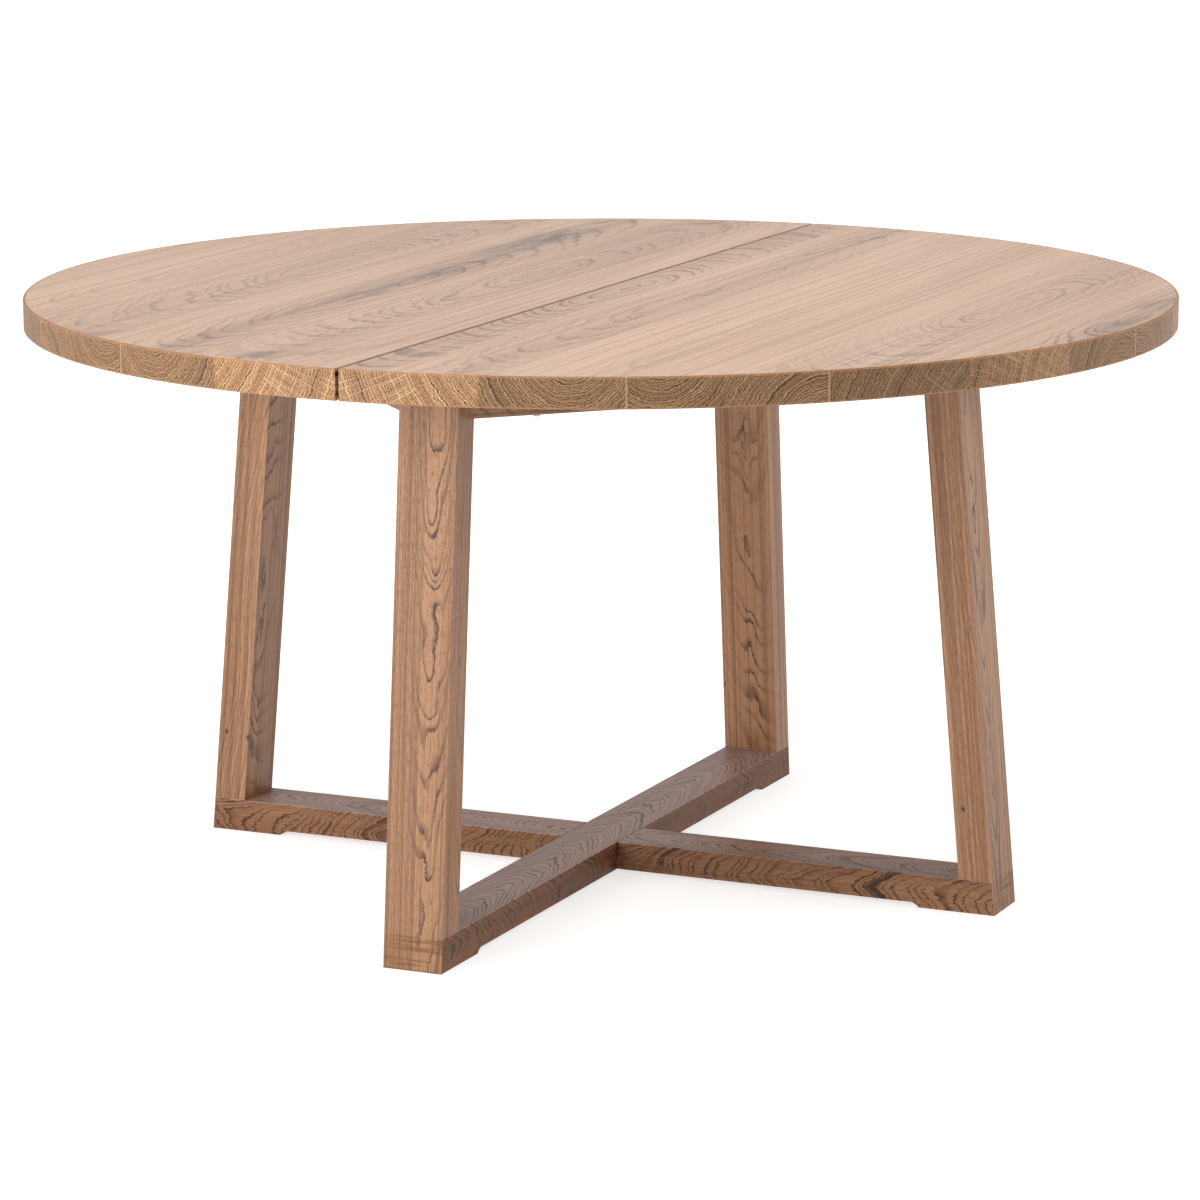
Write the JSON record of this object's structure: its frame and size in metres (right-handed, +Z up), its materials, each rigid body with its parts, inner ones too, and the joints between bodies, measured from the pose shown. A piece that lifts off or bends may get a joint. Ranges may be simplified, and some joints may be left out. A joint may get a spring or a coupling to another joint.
{
  "type": "dining table",
  "caption": "Round oak dining table, its top in two halves with an open seam, on leaning legs and crossed floor rails.",
  "frame": {"origin": "on the floor under the centre of the top", "axes": "+Z up; +Y and -Y along the seam between the two halves of the top and along the through rail; +X and -X along the lapped rail"},
  "size_m": [1.45, 1.45, 0.75],
  "materials": {
    "oak_top": "satin, brown-stained oak",
    "oak_edge": "satin, brown-stained oak, end grain",
    "oak_leg": "satin, brown-stained oak",
    "oak_rail": "satin, brown-stained oak",
    "oak_apron": "satin, brown-stained oak",
    "board": "raw edge-glued board",
    "beech": "raw fluted beech",
    "steel": "zinc plated",
    "felt": "felt"
  },
  "bodies": {
    "root": {"top_core_left": "board", "top_core_right": "board", "top_face_left": "oak_top", "top_face_right": "oak_top", "top_backing_left": "oak_top", "top_backing_right": "oak_top", "rim_band_left": "oak_edge", "rim_band_right": "oak_edge", "seam_lip_left": "oak_edge", "seam_lip_right": "oak_edge", "leg_front": "oak_leg", "leg_right": "oak_leg", "leg_back": "oak_leg", "leg_left": "oak_leg", "rail_through": "oak_rail", "rail_lapped": "oak_rail", "apron_front_right": "oak_apron", "apron_back_right": "oak_apron", "apron_back_left": "oak_apron", "apron_front_left": "oak_apron", "corner_block_front": "oak_apron", "corner_block_right": "oak_apron", "corner_block_back": "oak_apron", "corner_block_left": "oak_apron", "lower_leg_dowels": "beech", "corner_screws": "steel", "upper_leg_bolts": "steel", "upper_leg_washers": "steel", "upper_leg_inserts": "steel", "top_screws": "steel", "seam_plates": "steel", "seam_plate_screws": "steel", "cross_bolt": "steel", "cross_washer": "steel", "cross_insert": "steel", "lower_leg_bolts": "steel", "lower_leg_washers": "steel", "lower_leg_inserts": "steel", "foot_pad_front": "felt", "foot_pad_right": "felt", "foot_pad_back": "felt", "foot_pad_left": "felt"}
  },
  "joints": []
}
